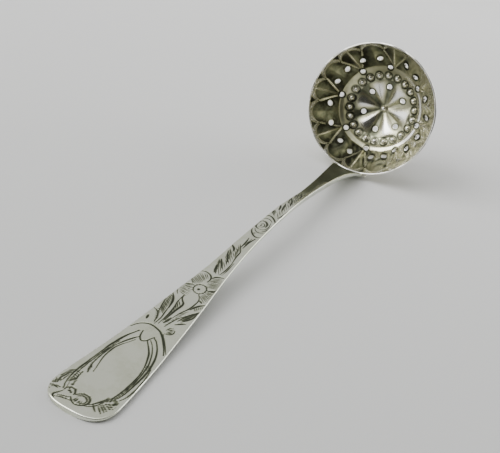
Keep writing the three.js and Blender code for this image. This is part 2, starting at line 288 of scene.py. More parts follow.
def place_camera():
    """The photograph's view."""
    back = Vector((-math.cos(VIEW_AZIMUTH) * math.cos(VIEW_ELEVATION),
                   -math.sin(VIEW_AZIMUTH) * math.cos(VIEW_ELEVATION),
                   math.sin(VIEW_ELEVATION)))
    level = Vector((math.sin(VIEW_AZIMUTH), -math.cos(VIEW_AZIMUTH), 0))
    upright = back.cross(level)
    right = level * math.cos(VIEW_ROLL) + upright * math.sin(VIEW_ROLL)
    up = upright * math.cos(VIEW_ROLL) - level * math.sin(VIEW_ROLL)
    lens = bpy.data.cameras.new("photo_view")
    lens.lens = VIEW_LENS
    lens.sensor_width = VIEW_SENSOR
    lens.clip_start = 0.01
    camera = bpy.data.objects.new("photo_view", lens)
    bpy.context.scene.collection.objects.link(camera)
    camera.matrix_world = Matrix((right, up, back)).transposed().to_4x4()
    camera.matrix_world.translation = (mouth_centre + Vector(VIEW_FROM_MOUTH)) * MM
    bpy.context.scene.camera = camera


def softbox(name, centre, target, width, height, power):
    """A soft lamp that faces its target. Places in metres."""
    lamp = bpy.data.lights.new(name, "AREA")
    lamp.shape = "RECTANGLE"
    lamp.size = width
    lamp.size_y = height
    lamp.energy = power
    box = bpy.data.objects.new(name, lamp)
    bpy.context.scene.collection.objects.link(box)
    box.location = centre
    box.rotation_euler = (Vector(target) - Vector(centre)).to_track_quat("-Z", "Y").to_euler()


def light_studio():
    """Two windows on the left, strip far right, soft ceiling, bright far and dark near side."""
    for name, (centre, target, width, height, power) in LAMPS.items():
        softbox(name, centre, target, width, height, power)
    world = bpy.context.scene.world or bpy.data.worlds.new("studio")
    bpy.context.scene.world = world
    world.use_nodes = True
    tree = world.node_tree
    link = tree.links.new
    background = tree.nodes["Background"]
    direction = tree.nodes.new("ShaderNodeTexCoord")
    facing = tree.nodes.new("ShaderNodeVectorMath")
    facing.operation = "DOT_PRODUCT"
    facing.inputs[1].default_value = FAR_SIDE
    link(direction.outputs["Generated"], facing.inputs[0])
    spread = tree.nodes.new("ShaderNodeMapRange")
    spread.interpolation_type = "SMOOTHSTEP"
    set_inputs(spread, {"From Min": FAR_SIDE_START, "From Max": FAR_SIDE_END})
    link(facing.outputs["Value"], spread.inputs["Value"])
    walls = tree.nodes.new("ShaderNodeMix")
    walls.data_type = "RGBA"
    set_inputs(walls, {"A": NEAR_WALL, "B": FAR_WALL})
    link(spread.outputs["Result"], walls.inputs["Factor"])
    link(walls.outputs["Result"], background.inputs["Color"])
    background.inputs["Strength"].default_value = 1


def lay_floor():
    bpy.ops.mesh.primitive_plane_add(size=FLOOR_SIZE, location=(0, 0, 0))
    floor = bpy.context.object
    floor.name = "floor"
    floor.data.materials.append(paper())


# Materials


def set_inputs(node, values):
    for name, value in values.items():
        node.inputs[name].default_value = value


def new_material(name):
    material = bpy.data.materials.new(name)
    material.use_nodes = True
    tree = material.node_tree
    return material, tree, tree.nodes["Principled BSDF"]


def paper():
    """Pale paper with a faint fibre, its colour darker near and lighter far: a painted light
    falloff.
    """
    material, tree, shader = new_material("pale_paper")
    link = tree.links.new
    place = tree.nodes.new("ShaderNodeTexCoord")
    split = tree.nodes.new("ShaderNodeSeparateXYZ")
    link(place.outputs["Object"], split.inputs["Vector"])
    far = tree.nodes.new("ShaderNodeMapRange")
    set_inputs(far, {"From Min": NEAR_FLOOR_X, "From Max": FAR_FLOOR_X})
    link(split.outputs["X"], far.inputs["Value"])
    shade = tree.nodes.new("ShaderNodeMix")
    shade.data_type = "RGBA"
    set_inputs(shade, {"A": NEAR_PAPER_SHADED, "B": FAR_PAPER_LIT})
    link(far.outputs["Result"], shade.inputs["Factor"])
    link(shade.outputs["Result"], shader.inputs["Base Color"])
    fibre = tree.nodes.new("ShaderNodeTexNoise")
    set_inputs(fibre, {"Scale": 500, "Detail": 3})
    link(place.outputs["Object"], fibre.inputs["Vector"])
    bump = tree.nodes.new("ShaderNodeBump")
    set_inputs(bump, {"Strength": 0.12, "Distance": 0.0002})
    link(fibre.outputs["Fac"], bump.inputs["Height"])
    link(bump.outputs["Normal"], shader.inputs["Normal"])
    set_inputs(shader, {"Roughness": 0.9, "Specular IOR Level": 0.1})
    return material


def silver(name, shades, roughness, scratch_strength, tarnish_and_shade=None, unevenness=0,
           patch_scale=170, patch_levels=(-0.06, 0.18)):
    """Polished silver that darkens with its tarnish and painted shade, from clean metal at 0 to
    black recesses at 1.
    """
    material, tree, shader = new_material(name)
    link = tree.links.new
    shader.inputs["Metallic"].default_value = 1
    place = tree.nodes.new("ShaderNodeTexCoord")
    cloud = tree.nodes.new("ShaderNodeTexNoise")
    set_inputs(cloud, {"Scale": patch_scale, "Detail": 5, "Roughness": 0.62})
    link(place.outputs["Object"], cloud.inputs["Vector"])
    patches = tree.nodes.new("ShaderNodeMapRange")
    set_inputs(patches, {"From Min": 0.35, "From Max": 0.7,
                         "To Min": patch_levels[0], "To Max": patch_levels[1]})
    link(cloud.outputs["Fac"], patches.inputs["Value"])
    level = patches.outputs["Result"]
    if tarnish_and_shade:
        mark = tree.nodes.new("ShaderNodeAttribute")
        mark.attribute_name = tarnish_and_shade
        total = tree.nodes.new("ShaderNodeMath")
        total.operation = "ADD"
        link(mark.outputs["Fac"], total.inputs[0])
        link(level, total.inputs[1])
        level = total.outputs["Value"]
    ramp = tree.nodes.new("ShaderNodeValToRGB")
    stops = ramp.color_ramp.elements
    while len(stops) < len(shades):
        stops.new(0.5)
    for stop, (position, colour) in zip(stops, shades):
        stop.position = position
        stop.color = (*colour, 1)
    link(level, ramp.inputs["Fac"])
    link(ramp.outputs["Color"], shader.inputs["Base Color"])
    gloss = tree.nodes.new("ShaderNodeMapRange")
    set_inputs(gloss, {"To Min": roughness, "To Max": 0.42})
    link(level, gloss.inputs["Value"])
    link(gloss.outputs["Result"], shader.inputs["Roughness"])
    hairs = tree.nodes.new("ShaderNodeTexNoise")
    stretch = tree.nodes.new("ShaderNodeMapping")
    set_inputs(stretch, {"Rotation": (0.2, 0.1, 0.5), "Scale": (400, 6000, 3000)})
    link(place.outputs["Object"], stretch.inputs["Vector"])
    link(stretch.outputs["Vector"], hairs.inputs["Vector"])
    set_inputs(hairs, {"Scale": 1, "Detail": 2})
    bump = tree.nodes.new("ShaderNodeBump")
    set_inputs(bump, {"Strength": scratch_strength, "Distance": 0.00002})
    link(hairs.outputs["Fac"], bump.inputs["Height"])
    if unevenness:
        dents = tree.nodes.new("ShaderNodeTexNoise")
        set_inputs(dents, {"Scale": 1100, "Detail": 2})
        link(place.outputs["Object"], dents.inputs["Vector"])
        worked = tree.nodes.new("ShaderNodeMath")
        worked.operation = "MULTIPLY"
        worked.inputs[1].default_value = unevenness
        link(level, worked.inputs[0])
        hammered = tree.nodes.new("ShaderNodeBump")
        link(worked.outputs["Value"], hammered.inputs["Strength"])
        hammered.inputs["Distance"].default_value = 0.0001
        link(dents.outputs["Fac"], hammered.inputs["Height"])
        link(hammered.outputs["Normal"], bump.inputs["Normal"])
    link(bump.outputs["Normal"], shader.inputs["Normal"])
    return material


# Mesh helpers


def deselect_all():
    for thing in bpy.context.selected_objects:
        thing.select_set(False)


def only(thing):
    deselect_all()
    thing.select_set(True)
    bpy.context.view_layer.objects.active = thing


def places_of(thing):
    flat = np.zeros(len(thing.data.vertices) * 3)
    thing.data.vertices.foreach_get("co", flat)
    return flat.reshape(-1, 3)


def set_places(thing, places):
    thing.data.vertices.foreach_set("co", np.ascontiguousarray(places).ravel())
    thing.data.update()


def join(things):
    deselect_all()
    for thing in things:
        thing.select_set(True)
    bpy.context.view_layer.objects.active = things[0]
    bpy.ops.object.join()
    return bpy.context.object


def coat(thing, material):
    """Gives the whole piece one material."""
    thing.data.materials.clear()
    thing.data.materials.append(material)
    thing.data.polygons.foreach_set("material_index", [0] * len(thing.data.polygons))


def cut(body, tool, operation):
    """Joins a tool to the body, or takes it away, and removes the tool."""
    step = body.modifiers.new("cut", "BOOLEAN")
    step.operation = operation
    step.solver = "MANIFOLD"
    step.object = tool
    only(body)
    bpy.ops.object.modifier_apply(modifier=step.name)
    bpy.data.objects.remove(tool)


def clean(thing):
    """Melts together points that the cuts left almost on each other or needlessly on an edge."""
    only(thing)
    bpy.ops.object.mode_set(mode="EDIT")
    bpy.ops.mesh.select_all(action="SELECT")
    bpy.ops.mesh.remove_doubles(threshold=MELT_DISTANCE * MM)
    bpy.ops.mesh.dissolve_degenerate(threshold=MELT_DISTANCE * MM)
    bpy.ops.mesh.select_all(action="DESELECT")
    bpy.ops.object.mode_set(mode="OBJECT")
    ends = np.zeros(len(thing.data.edges) * 2, int)
    thing.data.edges.foreach_get("vertices", ends)
    edges_at_point = np.bincount(ends, minlength=len(thing.data.vertices))
    thing.data.vertices.foreach_set("select", edges_at_point == 2)
    bpy.ops.object.mode_set(mode="EDIT")
    bpy.ops.mesh.dissolve_verts()
    bpy.ops.object.mode_set(mode="OBJECT")


# Bowl


def share_from_nearest(turn, step):
    """How far a turn is from the nearest of equally spaced ones, and 1 half way between two."""
    return np.abs(turn - np.round(turn / step) * step) / (step / 2)


def lobe_height(radius, turn):
    off = 1 - share_from_nearest(turn, 2 * np.pi / LOBES)
    crossing = np.cos(np.minimum(off / LOBE_WIDTH_SHARE, 1) * np.pi / 2)
    along = np.clip((radius - LOBE_START_RADIUS) / (LOBE_END_RADIUS - LOBE_START_RADIUS), 0, 1)
    return LOBE_HEIGHT * crossing * np.sqrt(np.abs(np.sin(np.pi * along**LOBE_SKEW)))


def petal_off(radius, turn):
    """Place across a petal: 0 on its ridge and 1 on the crease beside it."""
    from_leaf = share_from_nearest(turn, 2 * np.pi / LEAVES)
    widening = (radius - PETAL_START_RADIUS) / (PETAL_CUSP_RADIUS - PETAL_START_RADIUS)
    crease = np.clip(widening, SMALLEST_CREASE_SHARE, 1) / 2
    return np.where(from_leaf < crease, from_leaf / crease, (1 - from_leaf) / (1 - crease))


def petal_height(radius, turn):
    """Gabled petals, each with a ridge up its middle and an arched outer end."""
    arch = np.sqrt(np.maximum(1 - petal_off(PETAL_CUSP_RADIUS, turn)**2, 0))
    end = PETAL_CUSP_RADIUS + (MOUTH_RADIUS - PETAL_CUSP_RADIUS) * arch
    along = np.clip((radius - PETAL_START_RADIUS) / (end - PETAL_START_RADIUS), 0, 1)
    return PETAL_HEIGHT * (1 - petal_off(radius, turn)) * np.sin(np.pi * along**PETAL_SKEW)


def plain_dish():
    """A round dish: the bottom of a sphere, cut off at the mouth and given its wall."""
    bpy.ops.mesh.primitive_uv_sphere_add(
        segments=BOWL_SEGMENTS, ring_count=SPHERE_RINGS, radius=sphere_radius * MM)
    dish = bpy.context.object
    kept_rings = round(rim_angle / math.pi * SPHERE_RINGS)
    cut_angle = kept_rings * math.pi / SPHERE_RINGS
    only(dish)
    bpy.ops.object.mode_set(mode="EDIT")
    bpy.ops.mesh.select_all(action="SELECT")
    height = -sphere_radius * MM * math.cos(cut_angle + CUT_OVERRUN_ANGLE)
    bpy.ops.mesh.bisect(plane_co=(0, 0, height), plane_no=(0, 0, 1), clear_outer=True)
    bpy.ops.object.mode_set(mode="OBJECT")
    wall = dish.modifiers.new("wall", "SOLIDIFY")
    wall.thickness = BOWL_WALL * MM
    wall.offset = 1
    bpy.ops.object.modifier_apply(modifier=wall.name)
    rounding = dish.modifiers.new("rounding", "BEVEL")
    rounding.width = RIM_ROUNDING * MM
    rounding.segments = RIM_ROUNDING_STEPS
    rounding.limit_method = "ANGLE"
    rounding.angle_limit = RIM_EDGE_ANGLE
    bpy.ops.object.modifier_apply(modifier=rounding.name)
    return dish


def polar_turn_reach(places):
    reach = np.linalg.norm(places, axis=1)
    polar = np.arccos(np.clip(-places[:, 2] / reach, -1, 1))
    turn = np.arctan2(places[:, 1], places[:, 0])
    return polar, turn, reach


def chased_lines(radius, turn):
    """1 on the thin raised lines round the petals and up the leaves, falling to 0 beside them."""
    petal_step = np.pi / LEAVES
    from_leaf = share_from_nearest(turn, 2 * petal_step)
    widening = (radius - PETAL_START_RADIUS) / (PETAL_CUSP_RADIUS - PETAL_START_RADIUS)
    crease = np.clip(widening, 0, 1) / 2
    arch = np.sqrt(np.maximum(1 - petal_off(PETAL_CUSP_RADIUS, turn)**2, 0))
    end = PETAL_CUSP_RADIUS + (MOUTH_RADIUS - PETAL_CUSP_RADIUS) * arch
    in_leaf = (radius > PETAL_START_RADIUS) & (radius < PETAL_CUSP_RADIUS)
    to_edge = np.where(in_leaf, np.abs(from_leaf - crease) * petal_step * radius, LINE_WIDTH)
    to_rib = np.where((radius > PETAL_START_RADIUS + RIB_START) & (radius < end),
                      from_leaf * petal_step * radius, LINE_WIDTH)
    to_arch = np.abs(radius - end) * ARCH_LINE_THINNING
    away = np.minimum(np.minimum(to_edge, to_rib), to_arch)
    return np.clip(1 - away / LINE_WIDTH, 0, 1)


def band_height(radius, turn):
    """The low swelling between the beads and the petals, fullest at the low right of the bowl."""
    across = np.clip((radius - BAND_START_RADIUS) / (BAND_END_RADIUS - BAND_START_RADIUS), 0, 1)
    fullness = BAND_EVEN_SHARE + BAND_TURN_SHARE * np.cos(turn - BAND_FULL_TURN)
    return BAND_HEIGHT * np.sin(np.pi * across)**2 * fullness


def handwork_share(radius, turn):
    """Where the chasing is uneven: 1 on the petals at the low right of the bowl, 0 elsewhere."""
    side = HANDWORK_SIDE_SHIFT + HANDWORK_SIDE_SHARPNESS * np.cos(turn - HANDWORK_TURN)
    rise = np.clip((radius - HANDWORK_START_RADIUS) / HANDWORK_FADE, 0, 1)
    fall = np.clip((MOUTH_RADIUS - LINE_WIDTH - radius) / HANDWORK_FADE, 0, 1)
    return np.clip(side, 0, 1) * rise * fall


def handwork(radius, turn):
    """The small unevenness of the chasing, between -1 and 1."""
    x, y = radius * np.cos(turn), radius * np.sin(turn)
    x_wave, x_sway_wave, y_wave, y_sway_wave = HANDWORK_WAVES
    x_sway, y_sway = HANDWORK_SWAYS
    waves = np.sin(x_wave * x + x_sway * np.sin(x_sway_wave * y)) \
        * np.sin(y_wave * y + y_sway * np.sin(y_sway_wave * x))
    return waves * handwork_share(radius, turn)


def recesses(radius, turn):
    """1 in the dark metal beside holes, less beside beads, and 0 away from them."""
    dark = np.zeros_like(radius)
    spots = [(circle, turn_at, size, HOLE_RECESS_WIDTH, HOLE_RECESS_TARNISH)
             for size, places in HOLES for turn_at, circle in places]
    spots += [(BEAD_CIRCLE, 360 * (i + 0.5) / BEADS, BEAD_RADIUS, BEAD_RECESS_WIDTH,
               BEAD_RECESS_TARNISH) for i in range(BEADS)]
    spots += [(0, 0, FLOWER_BEAD_RADIUS, HOLE_RECESS_WIDTH, FLOWER_BEAD_RECESS_TARNISH)]
    for circle, turn_at, size, width, strength in spots:
        angle = math.radians(turn_at)
        away = np.hypot(radius * np.cos(turn) - circle * math.cos(angle),
                        radius * np.sin(turn) - circle * math.sin(angle))
        dark = np.maximum(dark, strength * np.clip(RECESS_REACH - (away - size) / width, 0, 1))
    return dark


def bowl_tarnish_and_shade(radius, turn, inside):
    """How dark the metal is: clean lobes and lines, olive petals, black recesses, with painted
    shade on the bowl's +Y side, painted light on its -Y side and painted highlights and shade on
    the chasing.
    """
    lobes = lobe_height(radius, turn) / LOBE_HEIGHT
    # Painted shade towards the bowl's +Y side and painted light towards its -Y side
    shaded_side = SHADED_SIDE_SHARPNESS * np.cos(turn - SHADED_SIDE_TURN) + SHADED_SIDE_SHIFT
    shaded_side = np.clip(shaded_side, -1, 1)
    shine = np.clip(lobes * LOBE_SHINE, 0, 1) ** LOBE_SHINE_FALL
    flower = (FLOWER_TARNISH + FLOWER_SHADE_TILT * shaded_side) * (1 - shine)
    band = BAND_TARNISH + BAND_SHADE_TILT * shaded_side
    to_edge = petal_off(np.maximum(radius, PETAL_START_RADIUS), turn)
    petals = PETAL_TARNISH + PETAL_SHADE_TILT * shaded_side + PETAL_EDGE_TARNISH * to_edge
    zone = np.where(radius < PETAL_START_RADIUS, band, petals)
    zone = np.where(radius < LOBE_END_RADIUS, flower, zone)
    # Painted highlights on the raised chasing and painted shade in its hollows, at the bowl's low
    # right
    zone = zone - HANDWORK_PAINTED_LIGHT_AND_SHADE * handwork(radius, turn)
    zone = zone * (1 - np.clip(LINE_SHINE * chased_lines(radius, turn), 0, 1))
    return np.where(inside, np.maximum(zone, recesses(radius, turn)), OUTSIDE_TARNISH)


def emboss(dish):
    """Chases the petals, lobes, lines and scallops into both faces of the sheet together."""
    places = places_of(dish) / MM
    polar, turn, reach = polar_turn_reach(places)
    inside = reach < sphere_radius + BOWL_WALL / 3
    polar = polar * rim_angle / polar.max()
    radius = sphere_radius * np.sin(polar)
    reach = reach - lobe_height(radius, turn) - petal_height(radius, turn)
    inward = handwork(radius, turn) + handwork_share(radius, turn)
    reach = reach - band_height(radius, turn) - HANDWORK_HEIGHT * inward
    reach = reach - LINE_HEIGHT * chased_lines(radius, turn) * (radius < MOUTH_RADIUS - LINE_WIDTH)
    near_rim = np.maximum(polar / rim_angle - SCALLOP_START_SHARE, 0) / (1 - SCALLOP_START_SHARE)
    lift = SCALLOP_LIFT * (1 - petal_off(PETAL_CUSP_RADIUS, turn)) * near_rim
    places = np.stack([reach * np.sin(polar) * np.cos(turn),
                       reach * np.sin(polar) * np.sin(turn),
                       -reach * np.cos(polar) + lift], 1)
    set_places(dish, places * MM)
    worn_rim = np.clip((polar / rim_angle - WORN_RIM_START) / WORN_RIM_FADE, 0, 1)
    mark(dish, bowl_tarnish_and_shade(radius, turn, inside) * (1 - worn_rim))


def mark(thing, levels):
    """Keeps how dark the metal is at each point of a piece, from tarnish and painted shade."""
    tarnish_and_shade = thing.data.attributes.new("tarnish_and_shade", "FLOAT", "POINT")
    tarnish_and_shade.data.foreach_set("value", np.ascontiguousarray(levels, float))


def set_on_sphere(thing, circle, turn, reach):
    """Moves a small piece to a place on the bowl's sphere, its own Z axis square to the sheet."""
    polar = math.asin(circle / sphere_radius)
    inward = Vector((-math.sin(polar) * math.cos(turn),
                     -math.sin(polar) * math.sin(turn), math.cos(polar)))
    thing.matrix_world = Matrix.Translation(-inward * reach * MM) @ \
        inward.to_track_quat("Z", "Y").to_matrix().to_4x4()


def bead(radius, circle, turn, lift):
    bpy.ops.mesh.primitive_uv_sphere_add(
        segments=BEAD_SEGMENTS, ring_count=BEAD_RINGS, radius=radius * MM)
    dome = bpy.context.object
    places = places_of(dome)
    places[:, 2] = np.maximum(places[:, 2], -(lift + BEAD_SINK_SHARE * BOWL_WALL) * MM)
    set_places(dome, places)
    set_on_sphere(dome, circle, turn, sphere_radius - lift)
    return dome


def punch(circle, turn):
    """The round hollow that each bead leaves on the outside of the bowl."""
    bpy.ops.mesh.primitive_uv_sphere_add(
        segments=PUNCH_SEGMENTS, ring_count=PUNCH_RINGS, radius=PUNCH_RADIUS * MM)
    ball = bpy.context.object
    set_on_sphere(ball, circle, turn, sphere_radius + PUNCH_DEPTH)
    return ball


def bead_turns():
    return [2 * math.pi * (i + 0.5) / BEADS for i in range(BEADS)]


def beads():
    domes = [bead(FLOWER_BEAD_RADIUS, 0, 0, FLOWER_BEAD_LIFT)]
    domes += [bead(BEAD_RADIUS, BEAD_CIRCLE, turn, BEAD_LIFT) for turn in bead_turns()]
    ring = join(domes)
    mark(ring, np.full(len(ring.data.vertices), BEAD_TARNISH))
    return ring


def punches():
    hollows = join([punch(0, 0)] + [punch(BEAD_CIRCLE, turn) for turn in bead_turns()])
    mark(hollows, np.full(len(hollows.data.vertices), PUNCH_TARNISH))
    return hollows


def drill(radius, circle, turn):
    bpy.ops.mesh.primitive_cylinder_add(
        vertices=DRILL_SIDES, radius=(radius - HOLE_BURR) * MM, depth=DRILL_LENGTH * MM)
    pin = bpy.context.object
    set_on_sphere(pin, circle, turn, sphere_radius)
    return pin


def drills():
    return join([drill(radius, circle, math.radians(turn))
                 for radius, places in HOLES for turn, circle in places])


def pierced_bowl():
    dish = plain_dish()
    emboss(dish)
    cut(dish, beads(), "UNION")
    cut(dish, punches(), "DIFFERENCE")
    cut(dish, drills(), "DIFFERENCE")
    clean(dish)
    dish.data.transform(leaning_in_metres())
    dish.name = "chased_bowl"
    only(dish)
    bpy.ops.object.shade_smooth_by_angle(angle=BOWL_CREASE)
    coat(dish, silver("bowl_silver", BOWL_SHADES, roughness=0.18, scratch_strength=0.3,
                      tarnish_and_shade="tarnish_and_shade", unevenness=0.8, patch_scale=260, patch_levels=(-0.08, 0.15)))
    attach(dish, "root")
    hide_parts("bowl")


def bowl_space():
    """The room that the bowl takes: its sphere up to the mouth."""
    bpy.ops.mesh.primitive_uv_sphere_add(
        segments=SPACE_SEGMENTS, ring_count=SPACE_RINGS, radius=(outer_radius + VISIBLE_GAP) * MM)
    space = bpy.context.object
    only(space)
    bpy.ops.object.mode_set(mode="EDIT")
    bpy.ops.mesh.select_all(action="SELECT")
    height = (BOWL_DEPTH - sphere_radius + SCALLOP_LIFT) * MM
    bpy.ops.mesh.bisect(plane_co=(0, 0, height), plane_no=(0, 0, 1), clear_outer=True,
                        use_fill=True)
    bpy.ops.object.mode_set(mode="OBJECT")
    space.data.transform(leaning_in_metres())
    return space


def leaning_in_metres():
    turned = leaning.copy()
    turned.translation = sphere_centre * MM
    return turned


# Handle


def handle_lines(along):
    """The handle's shares at any places along it, on smooth curves through the table."""
    table = np.array(HANDLE_SHARES, float)
    spots, rows = table[:, 0], table[:, 1:]
    i = np.clip(np.searchsorted(spots, along, side="right"), 1, len(spots) - 1)
    before = np.where(i > 1, i - 2, i)
    after = np.where(i < len(spots) - 1, np.minimum(i + 1, len(spots) - 1), i - 1)
    start, end = spots[i - 1], spots[i]
    share = (along - start) / (end - start)
    half = (end - start) / 2
    pull_back = half / (start - spots[before])
    pull_on = half / (spots[after] - end)
    square, cube = share**2, share**3
    w_before = -pull_back * cube + 2 * pull_back * square - pull_back * share
    w_start = (1 + pull_back) * cube + (-1.5 - 2 * pull_back) * square \
        + (-0.5 + pull_back) * share + 1
    w_end = (-1 - pull_on) * cube + (1.5 + pull_on) * square + 0.5 * share
    w_after = pull_on * cube - pull_on * square
    return (w_before[:, None] * rows[before] + w_start[:, None] * rows[i - 1]
            + w_end[:, None] * rows[i] + w_after[:, None] * rows[after])


def handle_rows():
    """x, half width, top, thickness, squareness and dish of every row from the end to the bowl."""
    fine = np.arange(0, FINE_ROWS_END, ROW_STEP_FINE)
    coarse = np.concatenate([np.arange(FINE_ROWS_END, ENGRAVED_END, ROW_STEP_COARSE),
                             np.arange(ENGRAVED_END, handle_span - LAST_ROW_ROOM, ROW_STEP_PLAIN)])
    turns = np.linspace(0, math.pi / 2, TIP_ROWS)[1:-1]
    tip = TERMINAL_ROUNDING * (1 - np.cos(turns) ** (2 / TERMINAL_SQUARENESS))
    fine = fine[fine > TERMINAL_ROUNDING - SHORTEST_ROW]
    s = np.concatenate([tip, fine, coarse, [handle_span]])
    along = s / handle_span
    spread, flare, bulge, body, root = handle_lines(along).T
    width = NECK_WIDTH + (TERMINAL_WIDTH - NECK_WIDTH) * spread \
        + (SHOULDER_WIDTH - NECK_WIDTH) * flare
    shoulder_top = low_rim.z - SHOULDER_STEP
    in_end = np.clip((TERMINAL_ROUNDING - s) / TERMINAL_ROUNDING, 0, 1)
    rounding = (1 - in_end**TERMINAL_SQUARENESS) ** (1 / TERMINAL_SQUARENESS)
    broadness = np.maximum(spread, flare)
    return {
        "x": END_X + s,
        "half": width / 2 * rounding,
        "top": TERMINAL_THICKNESS + (shoulder_top - TERMINAL_THICKNESS) * along + ARCH_RISE * bulge,
        "thick": TERMINAL_THICKNESS + WEAR + (NECK_THICKNESS - TERMINAL_THICKNESS - WEAR) * body
        + (shoulder_top - TERMINAL_THICKNESS) * root,
        "square": NECK_SQUARENESS + (BROAD_SQUARENESS - NECK_SQUARENESS) * broadness,
        "dish": flare**2,
    }


def sphere_underside(radius, x, y):
    return sphere_centre.z - np.sqrt(radius**2 - (x - sphere_centre.x) ** 2 - y**2)


def drop_rows(last):
    """The tongue under the bowl, which follows it and thins towards its round end."""
    share = np.sin(np.linspace(0, math.pi / 2, DROP_ROWS)[1:-1])
    x = low_rim.x + DROP_LENGTH * share
    seat = sphere_underside(outer_radius + JOINT_GAP, x, 0)
    under = HEEL_THICKNESS + WEAR + (DROP_END_THICKNESS - HEEL_THICKNESS - WEAR) * share**2
    return {
        "x": x,
        "half": last["half"] * np.sqrt(1 - share**2),
        "top": seat + DROP_UNDERCUT,
        "thick": DROP_UNDERCUT + under,
        "square": np.full_like(x, last["square"]),
        "dish": np.full_like(x, last["dish"]),
    }


def room_to_end(s, y):
    """How far a place is from the rounded end, measured straight along the handle."""
    share = np.clip(2 * np.abs(y) / TERMINAL_WIDTH, 0, 1)
    rounding = (1 - share**TERMINAL_SQUARENESS) ** (1 / TERMINAL_SQUARENESS)
    outline = TERMINAL_ROUNDING * (1 - rounding)
    return np.where(s < TERMINAL_ROUNDING, np.maximum(s - outline, 0), TERMINAL_WIDTH)


def loft(rows):
    """Grid of points: for each row, across the top, down the edge and back along the underside."""
    x, half, top, thick = (rows[key][:, None] for key in ("x", "half", "top", "thick"))
    square, dish = rows["square"][:, None], rows["dish"][:, None]
    chamfer = np.minimum(CHAMFER, half * CHAMFER_LARGEST_SHARE)
    edge = thick * EDGE_SHARE
    drop = np.minimum(chamfer, edge)
    side = np.linspace(0, math.pi / 2, CHAMFER_COLUMNS + 1)[1:]
    y_top = np.linspace(1, -1, TOP_COLUMNS + 1) * (half - chamfer)
    y_near = -(half - chamfer) - chamfer * np.sin(side)
    y = np.concatenate([-y_near[:, ::-1], y_top, y_near], 1)

    def dished(y):
        return dish * (MOUTH_RADIUS - np.sqrt(MOUTH_RADIUS**2 - y**2))

    to_end = room_to_end(x - END_X, y) + SMALLEST_ROOM
    to_side = half - np.abs(y) + SMALLEST_ROOM
    room = to_end * to_side / np.hypot(to_end, to_side)
    fall = 1 - np.clip(room / chamfer, 0, 1)
    z = top + dished(y) - drop * (1 - np.sqrt(1 - fall**2))
    angle = np.linspace(0, math.pi, UNDERSIDE_COLUMNS + 1)
    power = 2 / square
    y_under = -half * np.sign(np.cos(angle)) * np.abs(np.cos(angle)) ** power
    z_under = top + dished(y_under) - edge - (thick - edge) * np.sin(angle) ** power
    return x + 0 * np.concatenate([y, y_under], 1), np.concatenate([y, y_under], 1), \
        np.concatenate([z, z_under], 1)


def skin(name, x, y, z):
    """A closed body through equally long rows of points."""
    rows, count = y.shape
    places = np.stack([x, y, z], -1).reshape(-1, 3)
    row_starts = np.arange(rows - 1)[:, None] * count
    columns = np.arange(count)[None, :]
    here = (row_starts + columns).ravel()
    beside = (row_starts + (columns + 1) % count).ravel()
    quads = np.stack([here, beside, beside + count, here + count], 1)
    first = list(range(count))[::-1]
    last = list(range((rows - 1) * count, rows * count))
    mesh = bpy.data.meshes.new(name)
    mesh.from_pydata((places * MM).tolist(), [], quads.tolist() + [first, last])
    thing = bpy.data.objects.new(name, mesh)
    bpy.context.scene.collection.objects.link(thing)
    return thing


# Engraving on the handle. Each stroke is drawn in millimetres: along from the handle's end and
# across from its middle, far side first; then its width and its depth.
STROKES = []


def stroke(width, depth, *points):
    STROKES.append((width, depth, points))


def smooth_line(points, step=STROKE_STEP):
    """A smooth curve through the points of one stroke."""
    p = np.array(points, float)
    if len(p) < 3:
        count = max(2, int(np.linalg.norm(p[-1] - p[0]) / step))
        return p[0] + (p[-1] - p[0]) * np.linspace(0, 1, count)[:, None]
    p = np.vstack([2 * p[0] - p[1], p, 2 * p[-1] - p[-2]])
    parts = []
    for a, b, c, d in zip(p[:-3], p[1:-2], p[2:-1], p[3:]):
        t = np.linspace(0, 1, max(2, int(np.linalg.norm(c - b) / step)), endpoint=False)[:, None]
        parts.append(0.5 * (2 * b + (c - a) * t + (2 * a - 5 * b + 4 * c - d) * t**2
                            + (3 * b - a - 3 * c + d) * t**3))
    return np.vstack(parts + [p[-2:-1]])


def hatch(width, depth, count, first_edge, second_edge):
    """Fine strokes from one edge to the other, evenly spaced along both."""
    edges = [smooth_line(edge) for edge in (first_edge, second_edge)]
    for share in np.linspace(0, 1, count):
        ends = [tuple(edge[round(share * (len(edge) - 1))]) for edge in edges]
        stroke(width, depth, *ends)


